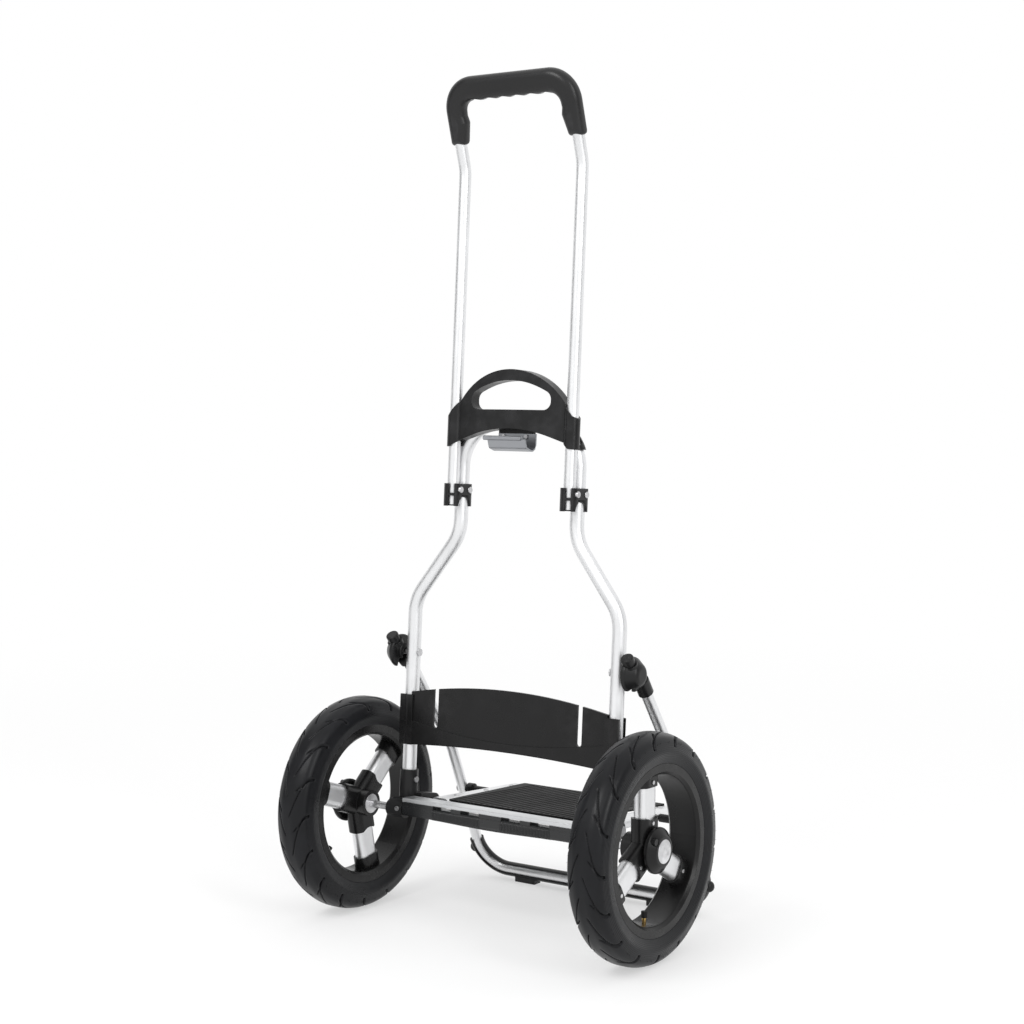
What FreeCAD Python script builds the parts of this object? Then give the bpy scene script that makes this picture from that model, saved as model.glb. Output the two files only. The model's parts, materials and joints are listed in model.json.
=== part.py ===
"""Folding two-wheeled trolley chassis: a bent aluminium frame, a sliding handle, a fold-down
load platform with its foot loop, and two spoked wheels with air tyres.

Millimetres, +Z up, +Y towards the platform, +X towards the right wheel. The origin is on the
floor, under the middle of the footprint. The upright frame leans back, so most pieces are drawn
in the leaning frame: its origin is the middle of the axle and its Z runs along the main tubes.
Wheel pieces are drawn about the wheel's centre, with +X pointing outwards.
"""
import FreeCAD, Part
import math
import os
import Sketcher
from FreeCAD import Placement, Rotation, Vector

doc = FreeCAD.newDocument("trolley_chassis")
sheet = doc.addObject("Spreadsheet::Sheet", "Sizes")

DIMENSIONS = {
    # whole object
    "frame_lean": 3.9,
    "axle_height": 145.0,
    "axle_ahead": 50.0,
    "track_half": 231.0,
    # running clearances: radius of a turning pin, a sliding tube, and a seat
    "pin_play": 0.05,
    "slide_play": 0.3,
    "seat_play": 0.05,
    # main tube
    "main_diameter": 19.0,
    "tube_wall": 1.5,
    "main_back": 27.3,
    "main_bottom": -6.0,
    "foot_half": 165.0,
    "neck_half": 93.5,
    "bend_low": 283.0,
    "bend_high": 375.0,
    "bend_radius": 57.0,
    "crossbar_up": 523.5,
    "crossbar_corner": 57.0,
    # sliding handle
    "handle_diameter": 16.0,
    "handle_back": 7.3,
    "handle_half": 93.5,
    "handle_bottom": 414.0,
    "handle_bend_up": 858.0,
    "handle_bend_radius": 50.0,
    "handle_bend_angle": 20.0,
    "grip_reach": 107.0,
    "grip_corner": 32.0,
    "grip_start": 35.0,
    "grip_depth": 23.0,
    "catch_up": 831.0,
    "catch_radius": 3.0,
    # carry bracket
    "bracket_half": 104.5,
    "bracket_front": -5.0,
    "bracket_back": 17.4,
    "bracket_bottom": 491.0,
    "shell_wall": 3.1,
    "arch_radius": 103.0,
    "hand_hole_half": 63.5,
    "hand_hole_bottom": 541.0,
    # guide clamps
    "clamp_bottom": 412.0,
    "clamp_length": 30.0,
    "clamp_main_radius": 12.9,
    "clamp_guide_radius": 12.0,
    # back panel
    "panel_front": 17.4,
    "panel_thickness": 4.0,
    "panel_bottom": 85.0,
    "panel_side_top": 153.0,
    "strap_slot_half": 116.0,
    "strap_slot_width": 8.4,
    "strap_slot_bottom": 116.0,
    # axle and brackets
    "axle_radius": 5.0,
    "axle_half": 248.0,
    "boss_radius": 12.0,
    "sleeve_radius": 12.5,
    "sleeve_top": 50.0,
    "beam_half": 145.6,
    "beam_depth": 10.0,
    "ear_inner": 142.6,
    "ear_outer": 160.0,
    # platform
    "hinge_back": 58.0,
    "hinge_up": 5.0,
    "hinge_pin_radius": 4.0,
    "rail_inner": 112.0,
    "rail_outer": 140.0,
    "rail_bottom": -1.5,
    "rail_top": 12.5,
    "rail_front": 48.0,
    "rail_rear": 236.0,
    "plate_thickness": 2.2,
    # stay and foot loop
    "loop_diameter": 15.0,
    "loop_half": 189.0,
    "loop_pivot_back": 188.0,
    "loop_pivot_up": 4.0,
    "loop_pin_radius": 3.5,
    "loop_bend_back": 152.0,
    "loop_bend_up": 69.0,
    "loop_foot_back": 243.5,
    "loop_foot_up": -113.7,
    "loop_corner": 45.0,
    "stay_lean": 39.0,
    "stay_length": 158.0,
    "shoe_radius": 10.2,
    # side joints
    "joint_back": 26.0,
    "joint_up": 210.0,
    "joint_radius": 23.0,
    "joint_inner": 177.6,
    "joint_outer": 202.6,
    "stud_radius": 4.0,
    "push_radius": 8.6,
    # wheels
    "wheel_radius": 145.0,
    "tyre_half": 27.5,
    "rim_radius": 108.0,
    "rim_half": 23.0,
    "barrel_radius": 94.0,
    "spoke_wide": 33.0,
    "spoke_deep": 19.0,
    "spoke_wall": 1.6,
    "hub_radius": 18.0,
    "cap_radius": 29.0,
    "cap_face": 29.0,
    "bearing_radius": 13.0,
    "valve_radius": 2.6,
}
SPOKES = 3
RIGHT_SPOKE_ANGLE = 90.0
LEFT_SPOKE_ANGLE = 41.5


class Size:
    """A number together with the sheet expression that gives it."""

    def __init__(self, value, text=None):
        self.value = float(value)
        self.text = text or "(%r)" % float(value)

    def _with(self, other, sign, value):
        return Size(value, "(%s %s %s)" % (self.text, sign, as_size(other).text))

    def __add__(self, other):
        return self._with(other, "+", self.value + as_size(other).value)

    def __sub__(self, other):
        return self._with(other, "-", self.value - as_size(other).value)

    def __mul__(self, other):
        return self._with(other, "*", self.value * as_size(other).value)

    def __truediv__(self, other):
        return self._with(other, "/", self.value / as_size(other).value)

    def __neg__(self):
        return as_size(-1) * self

    __radd__ = __add__
    __rmul__ = __mul__

    def __rsub__(self, other):
        return as_size(other) - self


def as_size(number):
    return number if isinstance(number, Size) else Size(number)


for row, (word, number) in enumerate(DIMENSIONS.items(), start=1):
    sheet.set("A%d" % row, word)
    sheet.set("B%d" % row, str(number))
    sheet.setAlias("B%d" % row, word)
doc.recompute()
D = {word: Size(number, "Sizes." + word) for word, number in DIMENSIONS.items()}
V = DIMENSIONS

LEANING = Placement(
    Vector(0, -V["axle_ahead"], V["axle_height"]), Rotation(Vector(1, 0, 0), -V["frame_lean"])
)
nodes = []


# ---------------------------------------------------------------- helpers

def bind(obj, prop, number):
    """Set a property and bind it to the sheet."""
    number = as_size(number)
    obj.setExpression(prop, number.text)


def node(label, obj, placement=LEANING):
    """Register obj as a piece of the object, under its own label and in its place."""
    obj.Label = label
    obj.Placement = placement
    nodes.append(obj)
    return obj


def instance(label, sources, placement=LEANING):
    """A piece made from other shapes, set down at a placement."""
    group = doc.addObject("Part::Compound", "piece")
    group.Links = list(sources)
    return node(label, group, placement)


def mirrored(source):
    twin = doc.addObject("Part::Mirroring", "twin")
    twin.Source = source
    twin.Normal = Vector(1, 0, 0)
    return twin


def pair(label, source):
    """The right and left pieces made from one right-hand shape."""
    instance(label + "_right", [source])
    instance(label + "_left", [mirrored(source)])


def at(obj, x, y, z):
    for axis, number in (("x", x), ("y", y), ("z", z)):
        bind(obj, "Placement.Base." + axis, number)
    return obj


def block(x, y, z):
    """A box from its low and high sides along each axis."""
    obj = doc.addObject("Part::Box", "block")
    for prop, (low, high) in (("Length", x), ("Width", y), ("Height", z)):
        bind(obj, prop, as_size(high) - low)
    return at(obj, x[0], y[0], z[0])


TURN_TO = {
    "X": Rotation(Vector(0, 1, 0), 90),
    "Y": Rotation(Vector(1, 0, 0), -90),
    "Z": Rotation(),
}


def rod(axis, radius, length, x, y, z, turn=None):
    """A cylinder that starts at x, y, z and runs along an axis or a turned Z."""
    obj = doc.addObject("Part::Cylinder", "rod")
    bind(obj, "Radius", radius)
    bind(obj, "Height", length)
    obj.Placement = Placement(Vector(), turn or TURN_TO[axis])
    return at(obj, x, y, z)


def ball(radius, x, y, z):
    obj = doc.addObject("Part::Sphere", "ball")
    bind(obj, "Radius", radius)
    return at(obj, x, y, z)


def fuse(*parts):
    if len(parts) == 1:
        return parts[0]
    obj = doc.addObject("Part::MultiFuse", "fusion")
    obj.Shapes = list(parts)
    obj.Refine = True
    return obj


def cut(base, *tools):
    for tool in tools:
        obj = doc.addObject("Part::Cut", "cutting")
        obj.Base = base
        obj.Tool = tool
        obj.Refine = True
        base = obj
    return base


def common(first, second):
    obj = doc.addObject("Part::Common", "overlap")
    obj.Base = first
    obj.Tool = second
    obj.Refine = True
    return obj


def rounded(obj, radius, wanted):
    """Fillet the edges of obj for which wanted(edge) is true."""
    doc.recompute()
    picked = [i for i, edge in enumerate(obj.Shape.Edges, start=1) if wanted(edge)]
    fillet = doc.addObject("Part::Fillet", "rounding")
    fillet.Base = obj
    fillet.Edges = [(i, radius, radius) for i in picked]
    return fillet


def new_body():
    return doc.addObject("PartDesign::Body", "body")


def origin_feature(body, role):
    return next(item for item in body.Origin.OriginFeatures if item.Role == role)


def new_sketch(body, plane, offset=0):
    """A sketch on one of the body's own planes; offset runs along the plane's normal."""
    sketch = body.newObject("Sketcher::SketchObject", "sketch")
    sketch.AttachmentSupport = [(origin_feature(body, plane + "_Plane"), "")]
    sketch.MapMode = "FlatFace"
    bind(sketch, "AttachmentOffset.Base.z", offset)
    return sketch


def draw(sketch, corners, closed=True):
    """Draw straight runs through the corners (x, y, radius), each corner rounded by an arc."""
    corners = [(as_size(x), as_size(y), radius) for x, y, radius in corners]
    count = len(corners)
    points = [Vector(x.value, y.value, 0) for x, y, radius in corners]
    ends = []
    reaches = []
    for i, (x, y, radius) in enumerate(corners):
        here = points[i]
        if not radius:
            reaches.append(0.0)
            ends.append((here, here, None))
            continue
        before = (points[i - 1] - here).normalize()
        after = (points[(i + 1) % count] - here).normalize()
        half = before.getAngle(after) / 2
        reach = radius / math.tan(half)
        reaches.append(reach)
        centre = here + (before + after).normalize() * (radius / math.sin(half))
        first, last = here + before * reach, here + after * reach
        turn_left = before.cross(after).z < 0
        start, stop = (first, last) if turn_left else (last, first)
        angles = [math.atan2(p.y - centre.y, p.x - centre.x) for p in (start, stop)]
        circle = Part.Circle(centre, Vector(0, 0, 1), radius)
        arc = Part.ArcOfCircle(circle, *angles)
        ends.append((first, last, (arc, 1 if turn_left else 2, 2 if turn_left else 1)))
    lines = count if closed else count - 1
    for i in range(lines):
        span = points[(i + 1) % count].distanceToPoint(points[i])
        if reaches[i] + reaches[(i + 1) % count] >= span:
            raise ValueError("the rounded corners at %s and the next one overlap" % points[i])
        sketch.addGeometry(Part.LineSegment(ends[i][1], ends[(i + 1) % count][0]), False)
    rules = []
    sizes = []

    def dimension(kind, geometry, point, number):
        sizes.append((len(rules), number))
        rules.append(Sketcher.Constraint(kind, geometry, point, number.value))

    for i, (x, y, radius) in enumerate(corners):
        inner = closed or 0 < i < count - 1
        line_in, line_out = (i - 1) % lines if closed else i - 1, i
        if not inner:
            geometry, point = (0, 1) if i == 0 else (lines - 1, 2)
            dimension("DistanceX", geometry, point, x)
            dimension("DistanceY", geometry, point, y)
        elif not radius:
            rules.append(Sketcher.Constraint("Coincident", line_in, 2, line_out, 1))
            dimension("DistanceX", line_out, 1, x)
            dimension("DistanceY", line_out, 1, y)
        else:
            arc, enter, leave = ends[i][2]
            arc_id = sketch.addGeometry(arc, False)
            corner_id = sketch.addGeometry(Part.Point(points[i]), True)
            rules.append(Sketcher.Constraint("Tangent", line_in, 2, arc_id, enter))
            rules.append(Sketcher.Constraint("Tangent", arc_id, leave, line_out, 1))
            rules.append(Sketcher.Constraint("Radius", arc_id, radius))
            rules.append(Sketcher.Constraint("PointOnObject", corner_id, 1, line_in))
            rules.append(Sketcher.Constraint("PointOnObject", corner_id, 1, line_out))
            dimension("DistanceX", corner_id, 1, x)
            dimension("DistanceY", corner_id, 1, y)
    sketch.addConstraint(rules)
    for index, number in sizes:
        if "Sizes" in number.text:
            sketch.setExpression("Constraints[%d]" % index, number.text)
    return sketch


def circle(sketch, x, y, radius):
    x, y, radius = as_size(x), as_size(y), as_size(radius)
    centre = Vector(x.value, y.value, 0)
    ring = sketch.addGeometry(Part.Circle(centre, Vector(0, 0, 1), radius.value), False)
    for kind, arguments, number in (
        ("DistanceX", (ring, 3), x),
        ("DistanceY", (ring, 3), y),
        ("Radius", (ring,), radius),
    ):
        index = sketch.addConstraint(Sketcher.Constraint(kind, *arguments, number.value))
        sketch.setExpression("Constraints[%d]" % index, number.text)
    return sketch


def symmetric(corners):
    """Corners given for the right half, followed by their mirror images on the left."""
    left = [(-as_size(x), y, radius) for x, y, radius in reversed(corners)]
    return list(corners) + left


def slab(plane, corners, low, high):
    """An outline on a plane, padded between two places along the plane's axis."""
    body = new_body()
    towards = -1 if plane == "XZ" else 1
    sketch = draw(new_sketch(body, plane, as_size(low) * towards), corners)
    pad = body.newObject("PartDesign::Pad", "pad")
    pad.Profile = sketch
    bind(pad, "Length", as_size(high) - low)
    pad.Reversed = plane == "XZ"
    return body


def turned(corners):
    """A closed outline of (x, radius) points turned about the X axis."""
    body = new_body()
    sketch = draw(new_sketch(body, "XY"), corners)
    turning = body.newObject("PartDesign::Revolution", "turning")
    turning.Profile = sketch
    turning.ReferenceAxis = (origin_feature(body, "X_Axis"), [""])
    turning.Angle = 360.0
    return body


def bent_run(points, radii):
    """A wire of straight runs through 3-D points, with an arc of its own radius at each bend."""
    points = [Vector(*p) for p in points]
    edges = []
    start = points[0]
    for here, after, radius in zip(points[1:-1], points[2:], radii):
        back = (start - here).normalize()
        ahead = (after - here).normalize()
        half = back.getAngle(ahead) / 2
        reach = radius / math.tan(half)
        middle = here + (back + ahead).normalize() * (radius / math.sin(half) - radius)
        first, last = here + back * reach, here + ahead * reach
        edges.append(Part.LineSegment(start, first).toShape())
        edges.append(Part.Arc(first, middle, last).toShape())
        start = last
    edges.append(Part.LineSegment(start, points[-1]).toShape())
    return Part.Wire(edges)


def swept(run, radius):
    """A solid round bar along a wire."""
    start = run.Vertexes[0].Point
    towards = run.Edges[0].tangentAt(run.Edges[0].FirstParameter)
    ring = Part.Wire(Part.makeCircle(radius, start, towards))
    return run.makePipeShell([ring], True, False)


def rolled(points, radii, face):
    """A face carried along straight runs and round bends: each run extruded, each bend turned."""
    pieces = []
    start = points[0]
    for here, after, radius in zip(points[1:-1], points[2:], radii):
        back = (start - here).normalize()
        ahead = (after - here).normalize()
        half = back.getAngle(ahead) / 2
        first = here + back * (radius / math.tan(half))
        pieces.append(face.extrude(first - start))
        face = face.translated(first - start)
        centre = here + (back + ahead).normalize() * (radius / math.sin(half))
        axis = ahead.cross(back)
        angle = 180.0 - 2.0 * math.degrees(half)
        pieces.append(face.revolve(centre, axis, angle))
        face = face.rotated(centre, axis, angle)
        start = here + ahead * (radius / math.tan(half))
    pieces.append(face.extrude(points[-1] - start))
    return pieces[0].fuse(pieces[1:]).removeSplitter()


def feature(shape):
    obj = doc.addObject("Part::Feature", "shape")
    obj.Shape = shape
    return obj


# ---------------------------------------------------------------- upright frame

def main_bar(radius, bore=None):
    """The main tube's run: up each side, in through two bends, and across the top."""
    body = new_body()
    path = draw(
        new_sketch(body, "XZ", -D["main_back"]),
        [
            (-D["foot_half"], D["main_bottom"], 0),
            (-D["foot_half"], D["bend_low"], V["bend_radius"]),
            (-D["neck_half"], D["bend_high"], V["bend_radius"]),
            (-D["neck_half"], D["crossbar_up"], V["crossbar_corner"]),
            (D["neck_half"], D["crossbar_up"], V["crossbar_corner"]),
            (D["neck_half"], D["bend_high"], V["bend_radius"]),
            (D["foot_half"], D["bend_low"], V["bend_radius"]),
            (D["foot_half"], D["main_bottom"], 0),
        ],
        closed=False,
    )
    section = new_sketch(body, "XY", D["main_bottom"])
    circle(section, -D["foot_half"], D["main_back"], radius)
    if bore:
        circle(section, -D["foot_half"], D["main_back"], bore)
    pipe = body.newObject("PartDesign::AdditivePipe", "pipe")
    pipe.Profile = section
    pipe.Spine = (path, [])
    return body


def make_main_tube():
    outer = D["main_diameter"] / 2
    node("main_tube", cut(main_bar(outer, outer - D["tube_wall"]), stay_stud_holes()))


def stay_stud_holes():
    return rod("X", D["stud_radius"] + D["seat_play"], D["foot_half"] * 2 + 40,
               -D["foot_half"] - 20, D["main_back"], D["joint_up"])


def make_carry_bracket():
    """Arched carry handle: a bowed plate with tube sleeves and a half shell over the crossbar."""
    half, bottom = D["bracket_half"], D["bracket_bottom"]
    front, back = D["bracket_front"], D["bracket_back"]
    outline = slab("XZ", [
        (half, bottom, 2),
        (half, bottom + 39, 3),
        (98, 534, 7),
        (0, 651.5, V["arch_radius"]),
        (-98, 534, 7),
        (-half, bottom + 39, 3),
        (-half, bottom, 2),
        (-94.5, 491.5, 4),
        (-84, 499.5, 5),
        (0, 527, 205),
        (84, 499.5, 5),
        (94.5, 491.5, 4),
    ], front, back)
    low, high = bottom - 10, bottom + 130
    plan = [slab("XY", [
        (86, back, 0), (-86, back, 0), (-86, 3.5, 0), (0, -9.5, 540), (86, 3.5, 0),
    ], low, high)]
    for side in (1, -1):
        plan.append(rod("Z", 10.5, 140, D["handle_half"] * side, D["handle_back"], low))
    plan.append(block((79, 97), (8, back), (low, high)))
    plan.append(block((-97, -79), (8, back), (low, high)))
    plate = common(outline, fuse(*plan))

    neck, up, corner = D["neck_half"], D["crossbar_up"], V["crossbar_corner"]
    inside = slab("XZ", [
        (neck, up - 130, 0), (neck, up, corner), (-neck, up, corner), (-neck, up - 130, 0),
    ], 0, 60)
    shell = common(cut(main_bar(D["main_diameter"] / 2 + D["shell_wall"]), inside),
                   block((-120, 120), (11.4, 31.5), (bottom + 1, 553)))
    tab = block((-28, 28), (16.05, 20.5), (497, 521))

    reach, sill = D["hand_hole_half"], D["hand_hole_bottom"]
    hole = slab("XZ", [
        (reach, sill, 11),
        (reach, sill + 21, 12),
        (0, sill + 50.7, 120),
        (-reach, sill + 21, 12),
        (-reach, sill, 11),
    ], front - 5, back + 20)
    voids = [hole, main_bar(D["main_diameter"] / 2 + D["seat_play"])]
    play = D["handle_diameter"] / 2 + D["slide_play"]
    catch = D["catch_radius"] + 0.6
    for side in (1, -1):
        tube_x = D["handle_half"] * side
        voids.append(rod("Z", play, 120, tube_x, D["handle_back"], 460))
        voids.append(block((tube_x - catch, tube_x + catch), (D["handle_back"], D["main_back"]),
                           (460, 580)))
    node("carry_bracket", cut(fuse(plate, shell, tab), *voids))


def make_bag_hook():
    """Bent strip under the carry bracket: a trough with a rolled lip, open at the top."""
    strip = slab("YZ", [
        (14, 510.5, 0), (16, 510.5, 0), (16, 494, 6), (7, 488.6, 5), (-5, 492, 4),
        (-9, 503, 0), (-11, 502.3, 0), (-6.6, 490.2, 6), (7, 486.4, 7), (14, 490.4, 0),
    ], -27, 33)
    lip = rod("X", 3, 60, -33, -10, 503.5)
    node("bag_hook", fuse(strip, lip))
    return fuse(*[rod("Y", 2.8, 1.8, x, 12.2, 506.5) for x in (-18, 18)])


def make_clamps():
    """Two-ring clamps: one ring grips the main tube, the other guides the handle tube."""
    bottom, length = D["clamp_bottom"], D["clamp_length"]
    middle, fore, rear = D["neck_half"], D["handle_back"], D["main_back"]
    solids = [
        rod("Z", D["clamp_main_radius"], length, middle, rear, bottom),
        rod("Z", D["clamp_guide_radius"], length, middle, fore, bottom),
        block((middle - 8, middle + 13), (fore - 3, rear + 3), (bottom + 15, bottom + length)),
    ]
    voids = [
        rod("Z", D["main_diameter"] / 2 + D["seat_play"], length + 10, middle, rear, bottom - 5),
        rod("Z", D["handle_diameter"] / 2 + D["slide_play"], length + 10, middle, fore, bottom - 5),
        rod("X", 12.6, 40, middle - 20, (fore + rear) / 2, bottom),
        rod("X", 4.6, 10, middle + 11.6, fore, bottom + 22),
        rod("X", 4.6, 10, middle + 11.6, rear, bottom + 22),
    ]
    for low, high in ((bottom - 10, bottom + 13.8), (bottom + 17.6, bottom + 40)):
        slit = doc.addObject("Part::Compound", "slit")
        slit.Links = [block((-4.15, 4.15), (-20, 0), (low, high))]
        slit.Placement = Placement(Vector(), Rotation(Vector(0, 0, 1), 25))
        voids.append(at(slit, middle, fore, 0))
    ring = cut(fuse(*solids), *voids)
    instance("tube_clamp_right", [ring])
    shifted = doc.addObject("Part::Compound", "shifted_clamp")
    shifted.Links = [ring]
    bind(shifted, "Placement.Base.x", D["neck_half"] * -2)
    instance("tube_clamp_left", [shifted])
    heads = []
    for start in (middle + 11.65, 11.65 - middle):
        for y in (fore, rear):
            head = rod("X", 4.4, 3.3, start, y, bottom + 22)
            heads.append(rounded(head, 1.4, lambda edge: edge.BoundBox.XMin > head.Shape.BoundBox.XMax - 0.1))
    instance("clamp_screws", heads)


def make_back_panel():
    """Arched back panel that snaps round both main tubes, with two strap slots from its top."""
    front, back = D["panel_front"], D["panel_front"] + D["panel_thickness"]
    edge = D["foot_half"] - 7
    sheet_part = slab("XZ", [
        (edge, D["panel_bottom"], 0),
        (edge, D["panel_side_top"] + 4, 0),
        (0, D["panel_side_top"] + 34, 820),
        (-edge, D["panel_side_top"] + 4, 0),
        (-edge, D["panel_bottom"], 0),
        (0, D["panel_bottom"] + 12, 2000),
    ], front, back)
    rim = edge - 2
    band = slab("XZ", [
        (rim, D["panel_bottom"] + 1.5, 0),
        (rim, D["panel_bottom"] + 33, 0),
        (0, D["panel_bottom"] + 6, 780),
        (-rim, D["panel_bottom"] + 33, 0),
        (-rim, D["panel_bottom"] + 1.5, 0),
        (0, D["panel_bottom"] + 13.5, 1900),
    ], front - 1.4, front + 1)
    solids = [sheet_part, band]
    voids = []
    for side in (1, -1):
        tube_x = D["foot_half"] * side
        low, high = D["panel_bottom"], D["panel_side_top"]
        solids.append(rod("Z", 12.6, high - low, tube_x, D["main_back"], low))
        solids.append(block((D["foot_half"] * side - 10.5, D["foot_half"] * side + 10.5),
                            (14.9, 24), (low, high)))
        voids.append(rod("Z", D["main_diameter"] / 2 + D["seat_play"], 100, tube_x, D["main_back"],
                         D["panel_bottom"] - 10))
        outward = tube_x + 13 * side
        low, high = (tube_x, outward) if side > 0 else (outward, tube_x)
        voids.append(block((low, high), (D["main_back"] - 7.5, D["main_back"] + 7),
                           (D["panel_bottom"] - 10, D["panel_side_top"] + 10)))
        slot_x = D["strap_slot_half"] * side
        slot = D["strap_slot_width"] / 2
        voids.append(block((slot_x - slot, slot_x + slot), (front - 5, back + 5),
                           (D["strap_slot_bottom"], D["panel_side_top"] + 40)))
        voids.append(rod("Y", slot, 14, slot_x, front - 5, D["strap_slot_bottom"]))
    node("back_panel", cut(fuse(*solids), *voids))


def make_corner_brackets():
    """Moulded brackets: a socket for the main tube, a boss for the axle, an ear for the platform."""
    foot, back = D["foot_half"], D["main_back"]
    socket = rod("Z", D["sleeve_radius"], D["sleeve_top"] + 12, foot, back, -12)
    boss = rod("X", D["boss_radius"], 27.6, foot - 18.6, 0, 0)
    boss = rounded(boss, 2.5, lambda edge: edge.BoundBox.XMin > V["foot_half"] + 8.9)
    bridge = block((foot - 11, foot + 11), (0, back), (-D["boss_radius"], D["boss_radius"]))
    ear = slab("YZ", [
        (back, -9, 0),
        (D["hinge_back"] + 10.5, -5.5, 10),
        (D["hinge_back"] + 10.5, 15.5, 10),
        (back, 19, 0),
    ], D["ear_inner"], D["ear_outer"])
    tube_void = rod("Z", D["main_diameter"] / 2 + D["seat_play"], 80, foot, back, D["main_bottom"] - 0.2)
    axle_void = rod("X", D["axle_radius"] + D["seat_play"], 60, foot - 30, 0, 0)
    pin_void = rod("X", D["hinge_pin_radius"] + D["seat_play"], 60, D["ear_inner"] - 20,
                   D["hinge_back"], D["hinge_up"])
    screw_void = rod("X", 4.1, 3, foot - 14, back, 36.7)
    set_void = rod("Y", 3.3, 3, foot - 12.5, -D["boss_radius"] - 2, 1.6)
    voids = [tube_void, axle_void, pin_void, screw_void, set_void]
    pair("corner_bracket", cut(fuse(socket, boss, bridge, ear), *voids))
    tube_screw = rod("X", 4.0, 2.9, foot - 14, back, 36.7)
    set_screw = rod("Y", 3.2, 2.2, foot - 12.5, -D["boss_radius"] - 1.25, 1.6)
    return fuse(tube_screw), fuse(set_screw)


def make_frame_screws(hook_screws, bracket_screws):
    rights = list(bracket_screws)
    instance("frame_screws", rights + [mirrored(item) for item in rights] + [hook_screws])


def make_axle():
    instance("axle_rod", [rod("X", D["axle_radius"], D["axle_half"] * 2, -D["axle_half"], 0, 0)])
    depth, half = D["beam_depth"], D["beam_half"]
    bar = slab("YZ", [
        (-depth, -7.4, 4), (depth, -7.4, 4), (depth, 7.5, 3), (-depth, 7.5, 3),
    ], -half, half)
    belly = slab("XZ", [
        (130, -6.2, 0), (0, -9.6, 1500), (-130, -6.2, 0),
    ], -depth + 1.5, depth - 1.5)
    flange = slab("YZ", [
        (-depth, 11.5, 1), (depth + 6, 11.5, 1), (depth + 6, 16.6, 1), (-depth, 16.6, 1),
    ], -half, half)
    posts = []
    for low, high in ((48, 64), (94, V["beam_half"])):
        posts.append(block((low, high), (-depth + 0.6, depth), (6, 14)))
        posts.append(block((-high, -low), (-depth + 0.6, depth), (6, 14)))
    posts.append(block((-18, 18), (-depth + 0.6, depth), (6, 14)))
    void = rod("X", D["axle_radius"] + D["seat_play"], half * 2 + 20, -half - 10, 0, 0)
    node("axle_beam", cut(fuse(bar, belly, flange, *posts), void))


def make_stay_studs():
    """Cross studs through the main tubes: a dome head inside, a hooked-over end outside."""
    shank = rod("X", D["stud_radius"], 38.4, D["foot_half"] - 10.4, D["main_back"], D["joint_up"])
    head = rod("X", D["stud_radius"] + 1.2, 1.8, D["foot_half"] - 11.0, D["main_back"], D["joint_up"])
    seat = cut(head, rod("Z", D["main_diameter"] / 2 + D["seat_play"], 40, D["foot_half"],
                         D["main_back"], D["joint_up"] - 20))
    stud = fuse(shank, seat)
    instance("stay_studs", [stud, mirrored(stud)])


def make_platform_pins():
    pin = rod("X", D["hinge_pin_radius"], 54, D["rail_inner"] - 3, D["hinge_back"], D["hinge_up"])
    head = rod("X", 6.6, 3.4, D["ear_outer"] + 0.05, D["hinge_back"], D["hinge_up"])
    tip = rod("X", 6.2, 2.5, D["rail_inner"] - 3, D["hinge_back"], D["hinge_up"])
    bolt = fuse(pin, head, tip)
    instance("platform_pins", [bolt, mirrored(bolt)])


# ---------------------------------------------------------------- handle

HANDLE_BEND = Rotation(Vector(1, 0, 0), V["handle_bend_angle"])
GRIP = LEANING.multiply(Placement(Vector(0, V["handle_back"], V["handle_bend_up"]), HANDLE_BEND))


def handle_run(low):
    half = V["handle_half"]
    bend = Vector(0, V["handle_back"], V["handle_bend_up"])
    top = bend + HANDLE_BEND.multVec(Vector(0, 0, V["grip_reach"]))
    right = [(half, V["handle_back"], low), (half, bend.y, bend.z), (half, top.y, top.z)]
    left = [(-x, y, z) for x, y, z in reversed(right)]
    bend_radius, corner = V["handle_bend_radius"], V["grip_corner"]
    return bent_run(right + left, [bend_radius, corner, corner, bend_radius])


def make_handle_tube():
    radius = V["handle_diameter"] / 2
    low = V["handle_bottom"]
    bore = swept(handle_run(low - 1), radius - V["tube_wall"])
    tube = feature(swept(handle_run(low), radius).cut(bore))
    holes = [rod("Y", D["catch_radius"] + 0.15, 12, D["handle_half"] * side, D["handle_back"] + 2,
                 D["catch_up"]) for side in (1, -1)]
    node("handle_tube", cut(tube, *holes))


def make_handle_grip():
    """Moulded grip round the handle's bow, drawn in the bow's own leaning plane."""
    low = D["grip_start"]
    outline = [(82.2, low, 3), (104.8, low, 3), (104.5, 122.8, 44), (-104.5, 122.8, 44),
               (-104.8, low, 3), (-82.2, low, 3), (-75.5, 63, 5), (-77.5, 72, 3), (-76, 91, 15),
               (76, 91, 15), (77.5, 72, 3), (75.5, 63, 5)]
    body = new_body()
    sketch = draw(new_sketch(body, "XZ", D["grip_depth"] / -2), outline)
    pad = body.newObject("PartDesign::Pad", "pad")
    pad.Profile = sketch
    bind(pad, "Length", D["grip_depth"])
    grip = rounded(body, 10.5, lambda edge: edge.BoundBox.YLength < 0.1)
    run = handle_run(V["handle_bottom"])
    void = feature(swept(run, V["handle_diameter"] / 2 + V["seat_play"]))
    void.Placement = Placement(Vector(0, V["handle_back"], V["handle_bend_up"]), HANDLE_BEND).inverse()
    hollows = [rod("Y", 24, 60, x, -30, 69.6) for x in (-33, -11, 11, 33)]
    hollows += [rod("Y", 16, 60, x, -30, 77.6) for x in (-56, 56)]
    node("handle_grip", cut(grip, void, *hollows), GRIP)


def make_handle_plugs():
    radius = D["handle_diameter"] / 2
    plug = fuse(
        rod("Z", radius - D["tube_wall"] - D["seat_play"], 12, D["handle_half"], D["handle_back"],
            D["handle_bottom"]),
        rod("Z", radius, 1.6, D["handle_half"], D["handle_back"], D["handle_bottom"] - 1.6),
    )
    instance("handle_plugs", [plug, mirrored(plug)])


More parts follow.
